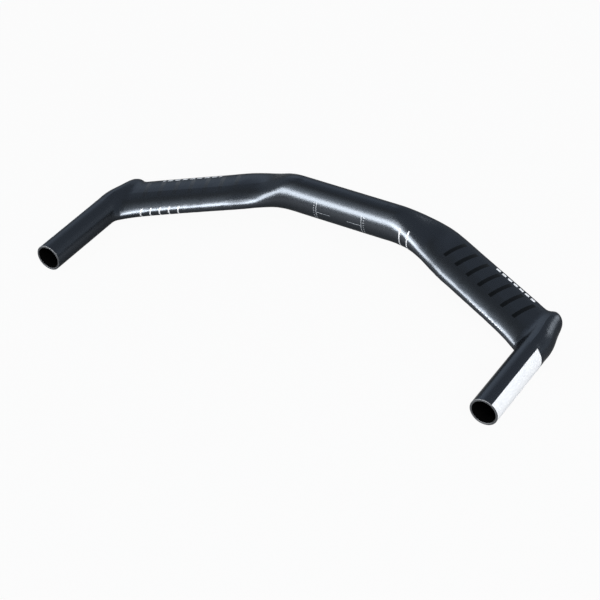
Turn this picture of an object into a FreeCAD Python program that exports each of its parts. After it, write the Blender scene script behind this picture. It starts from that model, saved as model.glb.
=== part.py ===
import FreeCAD, Part
import math
import os

import Sketcher

# Aero base bar for a time-trial bicycle: one alloy bar with a round clamp in the middle,
# two swept and dropped wings, two moulded corners and two straight open grips.
# X runs along the clamp, the grips point to -Y, +Z is up and the origin is the clamp's centre.

# Driving sizes, in millimetres and degrees
SIZES = (
    ("clamp_diameter", 31.8),
    ("clamp_length", 80.0),
    ("clamp_lead", 7.0),
    # Shoulder: the section just outside the clamp, still almost round
    ("shoulder_run", 22.0),
    ("shoulder_setback", 1.1),
    ("shoulder_drop", 2.2),
    ("shoulder_front", 17.1),
    ("shoulder_rear", 17.7),
    ("shoulder_thickness", 29.2),
    ("shoulder_pitch", 2.7),
    # Neck: the section in the middle of the bend
    ("neck_run", 20.0),
    ("neck_setback", 1.9),
    ("neck_drop", 8.7),
    ("neck_front", 21.9),
    ("neck_rear", 21.7),
    ("neck_thickness", 20.8),
    ("neck_pitch", 6.7),
    # Wing: the flat, straight stretch from its root to its tip on the grip's axis
    ("root_run", 23.0),
    ("root_advance", 10.6),
    ("root_drop", 11.3),
    ("root_front", 21.5),
    ("root_rear", 27.0),
    ("root_thickness", 19.2),
    ("wing_sweep", 20.7),
    ("wing_pitch", 7.7),
    ("tip_sink", 1.9),
    ("tip_front", 22.4),
    ("tip_rear", 26.3),
    ("tip_relief", 6.4),
    # Flare: how far the wing's front edge runs forward at the tip, and how late it starts to
    ("tip_flare", 10.0),
    ("flare_power", 7.0),
    ("corner_radius", 10.0),
    # Grips: straight round tubes, open in front
    ("grip_spacing", 420.0),
    ("grip_diameter", 24.0),
    ("grip_wall", 2.0),
    ("grip_drop", 27.9),
    ("grip_reach", 150.7),
    ("mouth_chamfer", 0.4),
    # Heel: behind the wing the grip tapers, leans inward and turns, each run measured from the heel's end
    ("heel_overhang", 5.9),
    ("heel_lead_run", 54.0),
    ("heel_start_run", 46.0),
    ("haunch_run", 27.4),
    ("haunch_taper", 1.0),
    ("haunch_lean", 1.6),
    ("haunch_turn", 3.0),
    ("heel_run", 11.5),
    ("heel_taper", 4.8),
    ("heel_lean", 2.8),
    ("heel_turn", 8.0),
    ("nose_run", 3.4),
    ("nose_taper", 10.6),
    ("nose_lean", 2.4),
    ("nose_turn", 14.0),
    ("nose_end_diameter", 4.8),
    ("nose_end_lean", 3.2),
    ("nose_end_turn", 20.0),
)

ORIGIN = FreeCAD.Vector(0, 0, 0)

doc = FreeCAD.newDocument("aero_base_bar")

# Spreadsheet of the driving sizes
sheet = doc.addObject("Spreadsheet::Sheet", "Sizes")
for row, (alias, value) in enumerate(SIZES, 1):
    sheet.set(f"A{row}", alias)
    sheet.set(f"B{row}", str(value))
    sheet.setAlias(f"B{row}", alias)
doc.recompute()

# Places that follow from the driving sizes
layout = doc.addObject("App::VarSet", "Layout")


def derive(name, expression):
    """Add a named place or size to the layout, bound to other values."""
    layout.addProperty("App::PropertyFloat", name, "Layout")
    layout.setExpression(name, expression)


derive("clamp_end_x", "Sizes.clamp_length / 2")
derive("shoulder_x", "clamp_end_x + Sizes.shoulder_run")
derive("neck_x", "shoulder_x + Sizes.neck_run")
derive("root_x", "neck_x + Sizes.root_run")
derive("grip_x", "Sizes.grip_spacing / 2")
derive("tip_y", "-Sizes.root_advance - tan(Sizes.wing_sweep * 1 deg) * (grip_x - root_x)")
derive("tip_drop", "Sizes.grip_drop + Sizes.tip_sink")
derive("heel_end_y", "tip_y + Sizes.tip_rear + Sizes.heel_overhang")
derive("grip_start_y", "heel_end_y - Sizes.heel_lead_run")
doc.recompute()

bar = doc.addObject("PartDesign::Body", "base_bar")
bar.Label = "base_bar"
planes = {feature.Role: feature for feature in bar.Origin.OriginFeatures}


def upright(x, y, z, turn="0", pitch="0"):
    """Place of an upright section: turned about Z from the clamp's end plane, then pitched in itself."""
    return (f"placement(vector({y}; {z}; {x}); rotation(vector(0; 1; 0); -({turn}) * 1 deg)"
            f" * rotation(vector(0; 0; 1); ({pitch}) * 1 deg))")


def new_sketch(name, place, plane="YZ_Plane"):
    """Empty sketch on one of the body's own planes, moved by the place expression."""
    sketch = bar.newObject("Sketcher::SketchObject", name)
    sketch.AttachmentSupport = [(planes[plane], "")]
    sketch.MapMode = "FlatFace"
    sketch.setExpression("AttachmentOffset", place)
    return sketch


def bind(sketch, constraint, name, expression):
    """Name a constraint and bind its value."""
    sketch.renameConstraint(constraint, name)
    sketch.setExpression(f"Constraints.{name}", expression)


def half_ellipse(sketch, length, height, start):
    """Half of an ellipse about the sketch's origin, with a level long axis; returns its number."""
    curve = Part.ArcOfEllipse(Part.Ellipse(ORIGIN, length, height), start, start + math.pi)
    arc = sketch.addGeometry(curve, False)
    sketch.exposeInternalGeometry(arc)
    sketch.addConstraint(Sketcher.Constraint("Coincident", arc, 3, -1, 1))
    sketch.addConstraint(Sketcher.Constraint("Horizontal", arc + 1))
    return arc


def half_circle(sketch, radius, start):
    """Half of a circle about the sketch's origin; returns its number."""
    curve = Part.ArcOfCircle(Part.Circle(ORIGIN, FreeCAD.Vector(0, 0, 1), radius), start, start + math.pi)
    arc = sketch.addGeometry(curve, False)
    sketch.addConstraint(Sketcher.Constraint("Coincident", arc, 3, -1, 1))
    return arc


def close_halves(sketch, rear, front):
    """Join a rear and a front half on the sketch's upright axis."""
    sketch.addConstraint(Sketcher.Constraint("PointOnObject", rear, 1, -2))
    sketch.addConstraint(Sketcher.Constraint("PointOnObject", rear, 2, -2))
    sketch.addConstraint(Sketcher.Constraint("Coincident", front, 1, rear, 2))
    sketch.addConstraint(Sketcher.Constraint("PointOnObject", front, 2, -2))


def egg_section(name, place, front, rear, thickness):
    """Wing-like section: a front and a rear half ellipse that share their thickness at the crest."""
    sketch = new_sketch(name, place)
    front_value = layout.evalExpression(front)
    rear_value = layout.evalExpression(rear)
    thickness_value = layout.evalExpression(thickness)
    rear_arc = half_ellipse(sketch, rear_value, thickness_value / 2, -math.pi / 2)
    front_arc = half_ellipse(sketch, front_value, thickness_value / 2, math.pi / 2)
    close_halves(sketch, rear_arc, front_arc)
    distance = sketch.addConstraint(Sketcher.Constraint("Distance", rear_arc + 1, 2 * rear_value))
    bind(sketch, distance, "rear_axis", f"2 * ({rear})")
    distance = sketch.addConstraint(Sketcher.Constraint("Distance", front_arc + 1, 2 * front_value))
    bind(sketch, distance, "front_axis", f"2 * ({front})")
    distance = sketch.addConstraint(Sketcher.Constraint("Distance", rear_arc + 2, thickness_value))
    bind(sketch, distance, "thickness", thickness)
    return sketch


def round_section(name, place, radius):
    """Round section in two halves, so that its edges match those of the wing-like sections."""
    sketch = new_sketch(name, place)
    radius_value = layout.evalExpression(radius)
    rear_arc = half_circle(sketch, radius_value, -math.pi / 2)
    front_arc = half_circle(sketch, radius_value, math.pi / 2)
    close_halves(sketch, rear_arc, front_arc)
    constraint = sketch.addConstraint(Sketcher.Constraint("Radius", rear_arc, radius_value))
    bind(sketch, constraint, "radius", radius)
    return sketch


def circle_sketch(name, place, radius):
    """Full circle about the sketch's origin."""
    sketch = new_sketch(name, place)
    radius_value = layout.evalExpression(radius)
    circle = sketch.addGeometry(Part.Circle(ORIGIN, FreeCAD.Vector(0, 0, 1), radius_value), False)
    sketch.addConstraint(Sketcher.Constraint("Coincident", circle, 3, -1, 1))
    constraint = sketch.addConstraint(Sketcher.Constraint("Radius", circle, radius_value))
    bind(sketch, constraint, "radius", radius)
    return sketch


def mouth_ring(shape):
    """Names of the edges round the flat face that lies furthest in front."""
    flats = [face for face in shape.Faces if face.Surface.TypeId == "Part::GeomPlane"]
    end = min(flats, key=lambda face: face.CenterOfMass.y)
    return [f"Edge{number}" for number, edge in enumerate(shape.Edges, 1)
            if any(edge.isSame(other) for other in end.Edges)]


def seam_edges(shape):
    """Names of the edges where a face of the wing meets a face of the grip or its heel."""
    root_x = layout.evalExpression("root_x")
    names = []
    for number, edge in enumerate(shape.Edges, 1):
        starts = [face.BoundBox.XMin for face in shape.ancestorsOfType(edge, Part.Face)]
        if min(starts) < root_x < max(starts):
            names.append(f"Edge{number}")
    return names


def between(root, tip, share):
    """Expression for the value that lies a share of the way from the wing's root to its tip."""
    return f"(({root}) + {share} * ({tip} - ({root})))"


# Equal bays of the straight wing, each about as long as the runs in the bend, which keeps the loft straight
WING_BAYS = 6


def wing_sections():
    """Sections of one wing, from the clamp to its tip on the grip's axis."""
    def egg(name, x, y, drop, pitch, front, rear, thickness):
        return egg_section(name, upright(x, y, f"-({drop})", "0", pitch), front, rear, thickness)

    def ring(name, x):
        return round_section(name, upright(x, "0", "0"), "Sizes.clamp_diameter / 2")

    sections = [
        ring("clamp_end", "Layout.clamp_end_x"),
        ring("clamp_lead", "Layout.clamp_end_x + Sizes.clamp_lead"),
        egg("shoulder", "Layout.shoulder_x", "Sizes.shoulder_setback", "Sizes.shoulder_drop",
            "Sizes.shoulder_pitch", "Sizes.shoulder_front", "Sizes.shoulder_rear",
            "Sizes.shoulder_thickness"),
        egg("neck", "Layout.neck_x", "Sizes.neck_setback", "Sizes.neck_drop",
            "Sizes.neck_pitch", "Sizes.neck_front", "Sizes.neck_rear", "Sizes.neck_thickness"),
    ]
    for rib in range(WING_BAYS + 1):
        share = f"{rib} / {WING_BAYS}"
        sections.append(egg(f"rib_{rib}", between("Layout.root_x", "Layout.grip_x", share),
                            between("-Sizes.root_advance", "Layout.tip_y", share),
                            between("Sizes.root_drop", "Layout.tip_drop", share), "Sizes.wing_pitch",
                            f"{between('Sizes.root_front', 'Sizes.tip_front', share)}"
                            f" + Sizes.tip_flare * ({share}) ^ Sizes.flare_power",
                            between("Sizes.root_rear", "Sizes.tip_rear", share),
                            between("Sizes.root_thickness", "(Sizes.grip_diameter - Sizes.tip_relief)", share)))
    return sections


# Stations of the grip's rear end: run from the heel's end, lean, turn and diameter
HEEL_STATIONS = (
    ("grip_start", "Sizes.heel_lead_run", "0", "0", "Sizes.grip_diameter"),
    ("heel_start", "Sizes.heel_start_run", "0", "0", "Sizes.grip_diameter"),
    ("haunch", "Sizes.haunch_run", "Sizes.haunch_lean", "Sizes.haunch_turn",
     "(Sizes.grip_diameter - Sizes.haunch_taper)"),
    ("heel", "Sizes.heel_run", "Sizes.heel_lean", "Sizes.heel_turn",
     "(Sizes.grip_diameter - Sizes.heel_taper)"),
    ("nose", "Sizes.nose_run", "Sizes.nose_lean", "Sizes.nose_turn",
     "(Sizes.grip_diameter - Sizes.nose_taper)"),
    ("nose_end", "0", "Sizes.nose_end_lean", "Sizes.nose_end_turn", "Sizes.nose_end_diameter"),
)


def heel_sections():
    """Round sections at the stations of the grip's rear end."""
    sections = []
    for name, run, lean, turn, diameter in HEEL_STATIONS:
        place = upright(f"Layout.grip_x - {lean}", f"Layout.heel_end_y - {run}", "-Sizes.grip_drop",
                        f"90 + {turn}")
        sections.append(round_section(name, place, f"{diameter} / 2"))
    return sections


def loft(name, sections):
    """Smooth loft through a row of sections."""
    feature = bar.newObject("PartDesign::AdditiveLoft", name)
    feature.Profile = sections[0]
    feature.Sections = sections[1:]
    doc.recompute()
    return feature


# Straight grip and its heel, which closes to a small flat at the nose
loft("heel", heel_sections())
grip = bar.newObject("PartDesign::Pad", "grip")
grip_start = upright("Layout.grip_x", "Layout.grip_start_y", "-Sizes.grip_drop", "90")
grip.Profile = circle_sketch("grip_circle", grip_start, "Sizes.grip_diameter / 2")
grip.setExpression("Length", "Sizes.grip_reach + Layout.grip_start_y")
doc.recompute()

# Wing, and half of the round clamp
loft("wing", wing_sections())
clamp = bar.newObject("PartDesign::Pad", "clamp")
clamp.Profile = circle_sketch("clamp_circle", upright("0", "0", "0"), "Sizes.clamp_diameter / 2")
clamp.setExpression("Length", "Layout.clamp_end_x")
doc.recompute()

# Moulded corner: the wing runs into the grip and its heel on a fillet all round
corner = bar.newObject("PartDesign::Fillet", "moulded_corner")
corner.Base = (clamp, seam_edges(clamp.Shape))
corner.setExpression("Radius", "Sizes.corner_radius")
doc.recompute()

# Grip's bore, which takes a plug or a lever's clamp; the closed wing and heel stay solid
bore = bar.newObject("PartDesign::Pocket", "grip_bore")
grip_mouth = upright("Layout.grip_x", "-Sizes.grip_reach", "-Sizes.grip_drop", "90")
bore.Profile = circle_sketch("grip_bore_circle", grip_mouth, "Sizes.grip_diameter / 2 - Sizes.grip_wall")
bore.setExpression("Length", "Sizes.grip_reach + Layout.grip_start_y")
doc.recompute()

# Broken edges at the open end of the grip
mouth = bar.newObject("PartDesign::Chamfer", "mouth_edges")
mouth.Base = (bore, mouth_ring(bore.Shape))
mouth.setExpression("Size", "Sizes.mouth_chamfer")
doc.recompute()

# The other half is the mirror image
mirror = bar.newObject("PartDesign::Mirrored", "both_halves")
mirror.TransformMode = "Whole shape"
mirror.MirrorPlane = (planes["YZ_Plane"], [""])
bar.Tip = mirror
doc.recompute()

# Nothing is written unless every object is sound
for item in doc.Objects:
    if "Invalid" in item.State or "Error" in item.State:
        raise RuntimeError(f"{item.Label} failed: {item.State}")
if bar.Shape.isNull() or not bar.Shape.isValid() or len(bar.Shape.Solids) != 1:
    raise RuntimeError("the bar is not one sound solid")

os.makedirs("parts", exist_ok=True)
bar.Shape.exportStep(f"parts/{bar.Label}.step")
print(f"{bar.Label}: volume {bar.Shape.Volume:.0f} mm3, box {bar.Shape.BoundBox}")
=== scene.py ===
import bpy
import math
from mathutils import Matrix, Vector


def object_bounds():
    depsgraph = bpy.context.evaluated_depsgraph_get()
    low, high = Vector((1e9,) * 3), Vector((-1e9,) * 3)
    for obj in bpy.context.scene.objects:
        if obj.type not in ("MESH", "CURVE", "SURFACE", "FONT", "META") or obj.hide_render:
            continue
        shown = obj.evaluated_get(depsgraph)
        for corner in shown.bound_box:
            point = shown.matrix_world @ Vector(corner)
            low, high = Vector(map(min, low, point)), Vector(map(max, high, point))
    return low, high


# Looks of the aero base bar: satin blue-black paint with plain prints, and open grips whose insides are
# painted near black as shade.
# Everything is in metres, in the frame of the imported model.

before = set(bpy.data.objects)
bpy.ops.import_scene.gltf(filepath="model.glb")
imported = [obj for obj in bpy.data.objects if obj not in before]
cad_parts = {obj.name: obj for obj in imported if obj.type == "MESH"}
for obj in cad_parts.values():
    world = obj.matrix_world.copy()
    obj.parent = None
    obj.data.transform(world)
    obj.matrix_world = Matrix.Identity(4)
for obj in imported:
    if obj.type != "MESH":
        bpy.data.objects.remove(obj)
cad_low, cad_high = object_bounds()

# Places on the bar that the paint follows; in a pair a mask starts at the first and is full at the second
CLAMP_RADIUS = 0.0159
CLAMP_END = 0.0400
GRIP_X = 0.210
GRIP_Z = -0.0279
GRIP_SIDE = (0.190, 0.191)
GRIP_REAR = (0.0700, 0.0705)
BORE_EDGE = (0.0106, 0.0103)
MOUTH_Y = -0.1507
MOUTH_MARGIN = 0.00005
CHAMFER = 0.0004
CUT_DEPTH = (CHAMFER * 1.1, CHAMFER * 0.9)
TOP_FACING = (0.25, 0.35)
RIGHT_HALF = (-0.001, 0.0)

# Straight front and rear edges of the wing: where they lie at one place, and how they run out and down
EDGE_X = 0.110
FRONT_Y = -0.0342
FRONT_Z = -0.0151
FRONT_STRIP = (0.012, 0.011)
REAR_Y = 0.0141
EDGE_SWEEP = 0.386
EDGE_DROP = 0.176

# Soft edge of the prints
PRINT_SOFT = 0.0001

# White panel on each grip: angles round the grip in degrees, 0 outward and 90 up, and its hooked rear end
PANEL_ANGLES = (-120.0, 55.8)
PANEL_SOFT = 0.7
PANEL_REAR = 0.0725
HOOK_ANGLE = 60.0
HOOK_REACH = 0.00055

# Clamp scale: heights are measured round the clamp from its foremost line, and reaches from the middle
SCALE_X = 0.0012
SCALE_AHEAD = (0.0030, 0.0032)
SCALE_HEIGHT = (-0.0098, 0.0085)
LINE_HEIGHT = (-0.0012, -0.0008)
LINE_REACH = (0.0085, 0.0222)
UPRIGHT_REACH = (0.0220, 0.0225)
DOT_REACH = (0.0240, 0.0251)
DOT_ROW = (0.0, 0.0024, 0.0007)

# Two bands right of the clamp: places along the bar, and angles round it in radians
BANDS = ((0.0597, 0.0608), (0.0669, 0.0680))
BAND_ANGLES = (-0.95, 0.62)
BAND_SOFT = 0.02
BAND_CENTRE_Z = -0.003

# Wing prints: a row has a start, a period and a width, and the other pairs are from and to
BAR_LEAN = 0.35
BAR_ROW = (0.1290, 0.0130, 0.0036)
BAR_SPAN = (0.1110, 0.1980)
BAR_CHORD = (0.0090, 0.0340)
LEFT_BAR_SHARE = 0.5
REAR_ROW = (0.1480, 0.0064, 0.0042)
RIGHT_REAR_SPAN = (0.1450, 0.1890)
RIGHT_REAR_CHORD = (0.0035, 0.0062)
LEFT_REAR_SPAN = (-0.1800, -0.1290)
LEFT_REAR_CHORD = (0.0061, 0.0088)
FRONT_ROW = (0.1430, 0.0036, 0.0024)
FRONT_SPAN = (0.1400, 0.1790)
FRONT_HEIGHT = (0.0028, 0.0034)
FRONT_SHARE = 0.3
MARK_ROW = (-0.1775, 0.0080, 0.0011)
MARK_SPAN = (-0.1783, -0.1445)
MARK_HEIGHT = (-0.0045, 0.0046)

# Colours of the paint, the prints and the grips' mouths
PAINT_DARK = (0.044, 0.050, 0.059, 1.0)
PAINT_LIGHT = (0.052, 0.058, 0.067, 1.0)
GLOSS_BLACK = (0.006, 0.007, 0.008, 1.0)
WHITE_INK = (0.87, 0.87, 0.88, 1.0)
PALE_INK = (0.48, 0.50, 0.53, 1.0)
CUT_METAL = (0.060, 0.063, 0.068, 1.0)
# Near black inside the grips' bores: painted shade
BORE_PAINTED_SHADE = (0.002, 0.002, 0.002, 1.0)

# Finish of the paint, the prints and the grips' mouths; a noise has a scale, a detail and a roughness
PAINT_ROUGHNESS = (0.18, 0.36)
BAR_ROUGHNESS = 0.12
INK_ROUGHNESS = 0.55
CUT_ROUGHNESS = 0.6
BORE_ROUGHNESS = 0.6
PAINT_METALLIC = 0.9
PAINT_TINT = (0.47, 0.47, 0.47, 1.0)
INK_TINT = (1.0, 1.0, 1.0, 1.0)
DULL_TINT = (0.0, 0.0, 0.0, 1.0)
PAINT_SPECULAR = 0.5
INK_SPECULAR = 0.2
GRAIN_NOISE = (1400.0, 2.0, 0.6)
GRAIN_STRENGTH = 0.22
GRAIN_DEPTH = 0.0002
CLOUD_NOISE = (25.0, 3.0, 0.5)

# Photograph's camera
AZIMUTH = 34.61
ELEVATION = 37.15
ROLL = -3.82
DISTANCE = 1.51445
FOCAL_PIXELS = 1776.59
SHIFT_RIGHT = -0.03975
SHIFT_UP = -0.07831
IMAGE_WIDTH = 600
SENSOR_WIDTH = 36.0
NEAREST = 0.01
FARTHEST = 100.0

scene = bpy.context.scene
scene.view_settings.view_transform = "Standard"


class Nodes:
    """Short ways to add nodes to one material or world."""

    def __init__(self, owner, output):
        owner.use_nodes = True
        self.owner = owner
        self.tree = owner.node_tree
        self.tree.nodes.clear()
        self.output = self.add(output)

    def add(self, kind):
        return self.tree.nodes.new("ShaderNode" + kind)

    def feed(self, socket, value):
        """Link a node's output to a socket, or set a plain value on it."""
        if isinstance(value, bpy.types.NodeSocket):
            self.tree.links.new(value, socket)
        else:
            socket.default_value = value

    def split(self, vector):
        """The three parts of a vector."""
        node = self.add("SeparateXYZ")
        self.feed(node.inputs[0], vector)
        return node.outputs

    def math(self, operation, *values, clamp=False):
        node = self.add("Math")
        node.operation = operation
        node.use_clamp = clamp
        for socket, value in zip(node.inputs, values):
            self.feed(socket, value)
        return node.outputs[0]

    def step(self, value, low, high):
        """0 at low, 1 at high, smooth between."""
        node = self.add("MapRange")
        node.interpolation_type = "SMOOTHSTEP"
        self.feed(node.inputs["Value"], value)
        self.feed(node.inputs["From Min"], low)
        self.feed(node.inputs["From Max"], high)
        return node.outputs[0]

    def within(self, value, low, high, soft=PRINT_SOFT):
        """1 between low and high, with soft edges."""
        rise = self.step(value, low - soft, low + soft)
        fall = self.step(value, high - soft, high + soft)
        return self.math("SUBTRACT", rise, fall, clamp=True)

    def row(self, value, start, period, width):
        """1 on bars of a width that repeat with a period from a start."""
        place = self.math("PINGPONG", self.math("SUBTRACT", value, start), period / 2)
        return self.step(place, width / 2 + PRINT_SOFT, width / 2 - PRINT_SOFT)

    def both(self, *masks):
        product = masks[0]
        for mask in masks[1:]:
            product = self.math("MULTIPLY", product, mask)
        return product

    def either(self, *masks):
        largest = masks[0]
        for mask in masks[1:]:
            largest = self.math("MAXIMUM", largest, mask)
        return largest

    def noise(self, vector, scale, detail, roughness):
        node = self.add("TexNoise")
        self.feed(node.inputs["Vector"], vector)
        node.inputs["Scale"].default_value = scale
        node.inputs["Detail"].default_value = detail
        node.inputs["Roughness"].default_value = roughness
        return node.outputs["Fac"]

    def mix(self, share, first, second):
        """Blend of two colours."""
        node = self.add("Mix")
        node.data_type = "RGBA"
        self.feed(node.inputs["Factor"], share)
        self.feed(node.inputs[6], first)
        self.feed(node.inputs[7], second)
        return node.outputs[2]

    def blend(self, share, first, second):
        """Blend of two numbers."""
        node = self.add("Mix")
        node.data_type = "FLOAT"
        self.feed(node.inputs["Factor"], share)
        self.feed(node.inputs[2], first)
        self.feed(node.inputs[3], second)
        return node.outputs[0]

    def bump(self, height, strength, distance):
        node = self.add("Bump")
        node.inputs["Strength"].default_value = strength
        node.inputs["Distance"].default_value = distance
        self.feed(node.inputs["Height"], height)
        return node.outputs["Normal"]

    def show(self, shader):
        """Put a shader on the surface, and hand back the material or world."""
        self.tree.links.new(shader.outputs[0], self.output.inputs["Surface"])
        return self.owner


def material_nodes(name):
    return Nodes(bpy.data.materials.new(name), "OutputMaterial")


def grip_panel(n, ahead_y, angle, on_grip_side):
    """White panel on the outer side of each grip, with a hooked rear end."""
    hook = n.math("POWER", n.math("MAXIMUM", n.math("SUBTRACT", HOOK_ANGLE, angle), 0.0), 0.5)
    past_rear = n.math("MULTIPLY_ADD", hook, -HOOK_REACH, n.math("SUBTRACT", ahead_y, PANEL_REAR))
    on_outside = n.within(angle, *PANEL_ANGLES, PANEL_SOFT)
    return n.both(on_outside, n.step(past_rear, -PRINT_SOFT, PRINT_SOFT), on_grip_side)


def clamp_scale(n, x, z, side_x, ahead_y):
    """Axial line open in the middle, and at each end an upright line with a row of dots."""
    front = n.math("MULTIPLY", n.math("ARCTAN2", z, ahead_y), CLAMP_RADIUS)
    scale_x = n.math("ABSOLUTE", n.math("SUBTRACT", x, SCALE_X))
    on_front = n.step(ahead_y, *SCALE_AHEAD)
    on_clamp = n.step(side_x, CLAMP_END, CLAMP_END - PRINT_SOFT)
    tall = n.within(front, *SCALE_HEIGHT)
    axial = n.both(n.within(front, *LINE_HEIGHT), n.within(scale_x, *LINE_REACH))
    upright = n.both(n.within(scale_x, *UPRIGHT_REACH), tall)
    dots = n.both(n.row(front, *DOT_ROW), n.within(scale_x, *DOT_REACH), tall)
    return n.both(n.either(axial, upright, dots), on_front, on_clamp)


def plain_bands(n, x, z, ahead_y):
    """Two plain bands on the front of the bar, right of the clamp."""
    angle = n.math("ARCTAN2", n.math("SUBTRACT", z, BAND_CENTRE_Z), ahead_y)
    places = [n.within(x, *band) for band in BANDS]
    return n.both(n.either(*places), n.within(angle, *BAND_ANGLES, BAND_SOFT))


def bar_paint():
    """Satin blue-black paint with a fine grain, plain prints, and the grips' cut edges and bores, the bores
    painted shade.
    """
    n = material_nodes("satin_black_paint")
    coordinates = n.add("TexCoord").outputs
    x, y, z = n.split(coordinates["Object"])
    side_x = n.math("ABSOLUTE", x)
    ahead_y = n.math("MULTIPLY", y, -1.0)
    on_top = n.step(n.split(coordinates["Normal"])["Z"], *TOP_FACING)
    on_grip_side = n.step(side_x, *GRIP_SIDE)

    # Place on the wing: out from the bend, forward of its rear edge and behind its front edge
    out = n.math("SUBTRACT", side_x, EDGE_X)
    swept = n.math("MULTIPLY_ADD", out, EDGE_SWEEP, y)
    from_rear = n.math("SUBTRACT", REAR_Y, swept)
    from_front = n.math("SUBTRACT", swept, FRONT_Y)
    above_front = n.math("SUBTRACT", n.math("MULTIPLY_ADD", out, EDGE_DROP, z), FRONT_Z)
    near_front = n.step(from_front, *FRONT_STRIP)

    # Distance from the grip's axis, and the angle round it, 0 outward and 90 degrees up
    across = n.math("SUBTRACT", side_x, GRIP_X)
    above = n.math("SUBTRACT", z, GRIP_Z)
    squares = n.math("ADD", n.math("MULTIPLY", across, across), n.math("MULTIPLY", above, above))
    radius = n.math("SQRT", squares)
    angle = n.math("MULTIPLY", n.math("ARCTAN2", above, across), 180 / math.pi)

    # Tonal bars on top of the wings, fainter on the left
    lean = n.math("MULTIPLY_ADD", from_rear, BAR_LEAN, side_x)
    bar_share = n.blend(n.step(x, *RIGHT_HALF), LEFT_BAR_SHARE, 1.0)
    bars = n.both(n.row(lean, *BAR_ROW), n.within(lean, *BAR_SPAN), n.within(from_rear, *BAR_CHORD),
                  on_top, bar_share)

    # Dashes along the rear edges, fine dashes along the right front edge and short marks on the left one
    right_rear = n.both(n.within(x, *RIGHT_REAR_SPAN), n.within(from_rear, *RIGHT_REAR_CHORD))
    left_rear = n.both(n.within(x, *LEFT_REAR_SPAN), n.within(from_rear, *LEFT_REAR_CHORD))
    rear_dashes = n.both(n.row(side_x, *REAR_ROW), n.either(right_rear, left_rear), on_top)
    front_dashes = n.both(n.row(x, *FRONT_ROW), n.within(x, *FRONT_SPAN),
                          n.within(above_front, *FRONT_HEIGHT), near_front)
    left_marks = n.both(n.row(x, *MARK_ROW), n.within(x, *MARK_SPAN),
                        n.within(above_front, *MARK_HEIGHT), near_front)

    # Inside of the grips, painted near black and without reflection as shade in the bores, and the cut edges
    # at their mouths
    in_grip = n.both(n.step(ahead_y, *GRIP_REAR), on_grip_side)
    behind_mouth = n.step(y, MOUTH_Y + MOUTH_MARGIN, MOUTH_Y + CHAMFER)
    bore_shade = n.both(n.step(radius, *BORE_EDGE), in_grip, behind_mouth)
    cut_start, cut_full = CUT_DEPTH
    cut = n.both(n.step(y, MOUTH_Y + cut_start, MOUTH_Y + cut_full), in_grip)

    # White and pale prints, and all that hides the paint's metal
    panel = grip_panel(n, ahead_y, angle, on_grip_side)
    bands = plain_bands(n, x, z, ahead_y)
    scale = clamp_scale(n, x, z, side_x, ahead_y)
    white = n.either(panel, bands, rear_dashes, left_marks)
    pale = n.either(scale, n.math("MULTIPLY", front_dashes, FRONT_SHARE))
    ink = n.either(white, pale, bars, bore_shade)

    # Fine grain of the paint, and slow changes of its colour
    grain = n.noise(coordinates["Object"], *GRAIN_NOISE)
    cloud = n.noise(coordinates["Object"], *CLOUD_NOISE)
    colour = n.mix(cloud, PAINT_DARK, PAINT_LIGHT)
    colour = n.mix(bars, colour, GLOSS_BLACK)
    colour = n.mix(white, colour, WHITE_INK)
    colour = n.mix(pale, colour, PALE_INK)
    colour = n.mix(cut, colour, CUT_METAL)
    # Painted shade: the bores near black
    colour = n.mix(bore_shade, colour, BORE_PAINTED_SHADE)
    rough = n.blend(grain, *PAINT_ROUGHNESS)
    rough = n.blend(bars, rough, BAR_ROUGHNESS)
    rough = n.blend(cut, rough, CUT_ROUGHNESS)
    rough = n.blend(n.either(white, pale), rough, INK_ROUGHNESS)
    rough = n.blend(bore_shade, rough, BORE_ROUGHNESS)
    metal = n.blend(cut, n.blend(ink, PAINT_METALLIC, 0.0), 1.0)
    # No reflection on the tonal bars, nor in the bores, where it is part of the painted shade
    tint = n.mix(n.either(bars, bore_shade), n.mix(ink, PAINT_TINT, INK_TINT), DULL_TINT)

    shader = n.add("BsdfPrincipled")
    n.feed(shader.inputs["Base Color"], colour)
    n.feed(shader.inputs["Roughness"], rough)
    n.feed(shader.inputs["Metallic"], metal)
    n.feed(shader.inputs["Specular Tint"], tint)
    n.feed(shader.inputs["Specular IOR Level"], n.blend(ink, PAINT_SPECULAR, INK_SPECULAR))
    n.feed(shader.inputs["Normal"], n.bump(grain, GRAIN_STRENGTH, GRAIN_DEPTH))
    return n.show(shader)


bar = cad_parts["base_bar"]
bar.data.materials.clear()
bar.data.materials.append(bar_paint())

# Stage: a plain white floor under the bar, which keeps the bar's shadow
FLOOR_REACH = 12.0
FLOOR_GAP = 0.0005
FLOOR_COLOUR = (0.42, 0.42, 0.42, 1.0)
FLOOR_SHOWN = 0.95
# Share of plain white in the bar's reflections of the floor, off and on a painted pool of light in front of
# the bar, and where that pool lies
FLOOR_MIRRORED = (0.1, 1.0)
PAINTED_POOL_Y = (0.0, -0.14)
PAINTED_POOL_X = (-0.19, -0.09)


def white_floor():
    """Floor that is lit as it is, shown mostly as plain white, and to the bar's reflections a painted pool
    of light in front of the bar.
    """
    n = material_nodes("white_floor")
    lit = n.add("BsdfDiffuse")
    lit.inputs["Color"].default_value = FLOOR_COLOUR
    plain = n.add("Emission")
    plain.inputs["Strength"].default_value = 1.0
    path = n.add("LightPath").outputs
    place = n.split(n.add("TexCoord").outputs["Object"])
    # Painted pool of light on the floor in front of the bar, seen only in the bar's reflections
    painted_pool = n.both(n.step(place["Y"], *PAINTED_POOL_Y), n.step(place["X"], *PAINTED_POOL_X))
    in_gloss = n.either(path["Is Glossy Ray"], path["Is Transmission Ray"])
    mirrored = n.both(in_gloss, n.blend(painted_pool, *FLOOR_MIRRORED))
    shown = n.add("MixShader")
    n.feed(shown.inputs["Fac"], n.either(n.math("MULTIPLY", path["Is Camera Ray"], FLOOR_SHOWN), mirrored))
    n.feed(shown.inputs[1], lit.outputs[0])
    n.feed(shown.inputs[2], plain.outputs[0])
    return n.show(shown)


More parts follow.
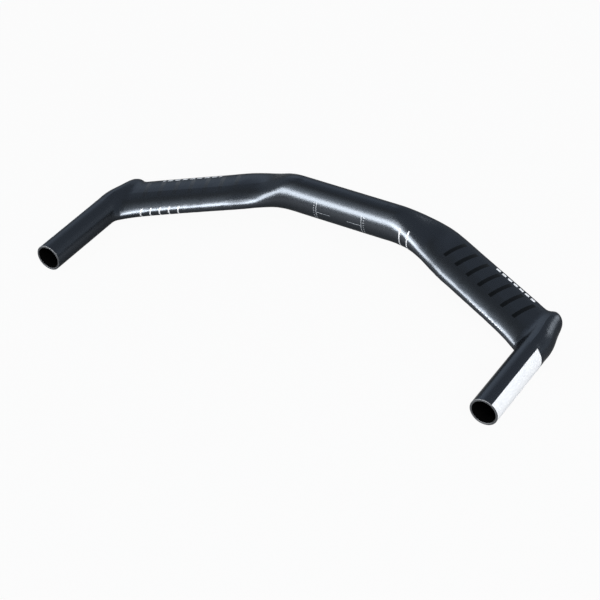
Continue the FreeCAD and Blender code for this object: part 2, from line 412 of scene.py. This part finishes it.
floor_z = cad_low.z - FLOOR_GAP
floor_mesh = bpy.data.meshes.new("floor")
corners = [(side_x * FLOOR_REACH, side_y * FLOOR_REACH, floor_z)
           for side_x, side_y in ((-1, -1), (1, -1), (1, 1), (-1, 1))]
floor_mesh.from_pydata(corners, [], [(0, 1, 2, 3)])
floor_mesh.materials.append(white_floor())
floor = bpy.data.objects.new("floor", floor_mesh)
scene.collection.objects.link(floor)

# Studio round the bar: heights as parts of a unit direction, and the glow's edge as a cosine
HORIZON_RISE = 0.05
HORIZON_COLOUR = (0.63, 0.70, 0.78, 1.0)
OVERHEAD_RISE = 0.65
OVERHEAD_COLOUR = (0.32, 0.365, 0.43, 1.0)
GLOW_TOWARD = (-0.59, 0.70, 0.40)
GLOW_EDGE = (0.93, 0.998)
GLOW_STRENGTH = 2.3


def studio():
    """Pale near the horizon, dim overhead, with a soft glow low at the back on the left."""
    n = Nodes(bpy.data.worlds.new("studio"), "OutputWorld")
    direction = n.add("TexCoord").outputs["Generated"]
    ramp = n.add("ValToRGB")
    ramp.color_ramp.interpolation = "EASE"
    horizon, overhead = ramp.color_ramp.elements
    horizon.position = HORIZON_RISE
    horizon.color = HORIZON_COLOUR
    overhead.position = OVERHEAD_RISE
    overhead.color = OVERHEAD_COLOUR
    n.feed(ramp.inputs["Fac"], n.split(direction)["Z"])
    toward = n.add("VectorMath")
    toward.operation = "DOT_PRODUCT"
    n.feed(toward.inputs[0], direction)
    toward.inputs[1].default_value = GLOW_TOWARD
    glow = n.step(toward.outputs["Value"], *GLOW_EDGE)
    background = n.add("Background")
    n.feed(background.inputs["Color"], ramp.outputs["Color"])
    n.feed(background.inputs["Strength"], n.blend(glow, 1.0, GLOW_STRENGTH))
    return n.show(background)


scene.world = studio()

# Lamps: a long strip and a tall box in front, which the paint mirrors, a box behind and a plain fill
STUDIO_REACH = 3.0
LAMP_COLOUR = (1.0, 0.99, 0.96)
STRIP_AZIMUTH = 24.0
STRIP_LOW = 13.0
STRIP_TOP = 37.0
STRIP_WIDTH = 6.2
STRIP_HEIGHT = 2 * STUDIO_REACH * math.tan(math.radians((STRIP_TOP - STRIP_LOW) / 2))


def around(azimuth, elevation, distance):
    """Point seen from the bar at an azimuth (0 ahead, 90 to the left) and an elevation, in degrees."""
    level = distance * math.cos(math.radians(elevation))
    return Vector((-level * math.sin(math.radians(azimuth)), -level * math.cos(math.radians(azimuth)),
                   distance * math.sin(math.radians(elevation))))


def softbox(name, azimuth, elevation, width, height, radiance, mirrored=True, lights=True):
    """Rectangular lamp turned to the bar: mirrored in gloss, lighting plain surfaces, or both."""
    lamp = bpy.data.lights.new(name, "AREA")
    lamp.shape = "RECTANGLE"
    lamp.size = width
    lamp.size_y = height
    lamp.energy = radiance * math.pi * width * height
    lamp.color = LAMP_COLOUR
    holder = bpy.data.objects.new(name, lamp)
    holder.location = around(azimuth, elevation, STUDIO_REACH)
    holder.rotation_mode = "QUATERNION"
    holder.rotation_quaternion = (-holder.location).to_track_quat("-Z", "Y")
    holder.visible_camera = False
    holder.visible_glossy = mirrored
    holder.visible_diffuse = lights
    scene.collection.objects.link(holder)


softbox("strip", azimuth=STRIP_AZIMUTH, elevation=(STRIP_LOW + STRIP_TOP) / 2, width=STRIP_WIDTH,
        height=STRIP_HEIGHT, radiance=18.0, lights=False)
softbox("front", azimuth=3.0, elevation=32.0, width=1.4, height=2.6, radiance=7.5, lights=False)
softbox("back", azimuth=-161.0, elevation=12.0, width=1.0, height=1.4, radiance=4.0)
softbox("fill", azimuth=-54.0, elevation=36.0, width=2.0, height=2.0, radiance=5.2, mirrored=False)

# Curved card over the strip, in columns from right to left: place, rise over the strip, fade at its foot
CARD_RINGS = 24
CARD_COLUMNS = (
    (0.4, 72.0, 0.0),
    (0.8, 72.0, 0.0),
    (1.9, 55.0, 0.1),
    (3.3, 48.0, 0.15),
)
CARD_COLOUR = (0.90, 0.96, 1.0, 1.0)
CARD_FADE_POWER = 3.0
CARD_FOOT_STRENGTH = 3.7
CARD_LEAST_STRENGTH = 0.20


def fading_card():
    """Glow that fades upward from just over the strip."""
    n = material_nodes("fading_card")
    fade = n.add("Attribute")
    fade.attribute_name = "fade"
    left = n.math("SUBTRACT", 1.0, fade.outputs["Fac"], clamp=True)
    curve = n.math("POWER", left, CARD_FADE_POWER)
    shine = n.add("Emission")
    shine.inputs["Color"].default_value = CARD_COLOUR
    n.feed(shine.inputs["Strength"], n.math("MULTIPLY_ADD", curve, CARD_FOOT_STRENGTH, CARD_LEAST_STRENGTH))
    return n.show(shine)


card_points = []
card_fades = []
card_faces = []
along = around(STRIP_AZIMUTH + 90.0, 0.0, 1.0)
for ring in range(CARD_RINGS + 1):
    share = ring / CARD_RINGS
    for place, card_rise, foot_fade in CARD_COLUMNS:
        tilt = math.radians(STRIP_TOP + card_rise * share)
        ahead = around(STRIP_AZIMUTH, 0.0, STUDIO_REACH * math.cos(tilt))
        card_points.append(along * place + ahead + Vector((0.0, 0.0, STUDIO_REACH * math.sin(tilt))))
        card_fades.append(foot_fade + (1.0 - foot_fade) * share)
columns = len(CARD_COLUMNS)
for ring in range(CARD_RINGS):
    for column in range(columns - 1):
        first = ring * columns + column
        card_faces.append((first, first + 1, first + 1 + columns, first + columns))
card_mesh = bpy.data.meshes.new("card")
card_mesh.from_pydata(card_points, [], card_faces)
card_mesh.attributes.new("fade", "FLOAT", "POINT").data.foreach_set("value", card_fades)
card_mesh.materials.append(fading_card())
card = bpy.data.objects.new("card", card_mesh)
card.visible_camera = False
scene.collection.objects.link(card)

# Camera at the photograph's angle
azimuth = math.radians(AZIMUTH)
elevation = math.radians(ELEVATION)
roll = math.radians(ROLL)
back = Vector((math.sin(azimuth) * math.cos(elevation), -math.cos(azimuth) * math.cos(elevation),
               math.sin(elevation)))
level = Vector((math.cos(azimuth), math.sin(azimuth), 0.0))
rise = back.cross(level)
right = level * math.cos(roll) + rise * math.sin(roll)
up = rise * math.cos(roll) - level * math.sin(roll)
camera_data = bpy.data.cameras.new("camera")
camera_data.sensor_width = SENSOR_WIDTH
camera_data.lens = FOCAL_PIXELS / IMAGE_WIDTH * SENSOR_WIDTH
camera_data.clip_start = NEAREST
camera_data.clip_end = FARTHEST
camera = bpy.data.objects.new("camera", camera_data)
turn = Matrix((right, up, back)).transposed().to_4x4()
camera.matrix_world = Matrix.Translation(right * SHIFT_RIGHT + up * SHIFT_UP + back * DISTANCE) @ turn
scene.collection.objects.link(camera)
scene.camera = camera
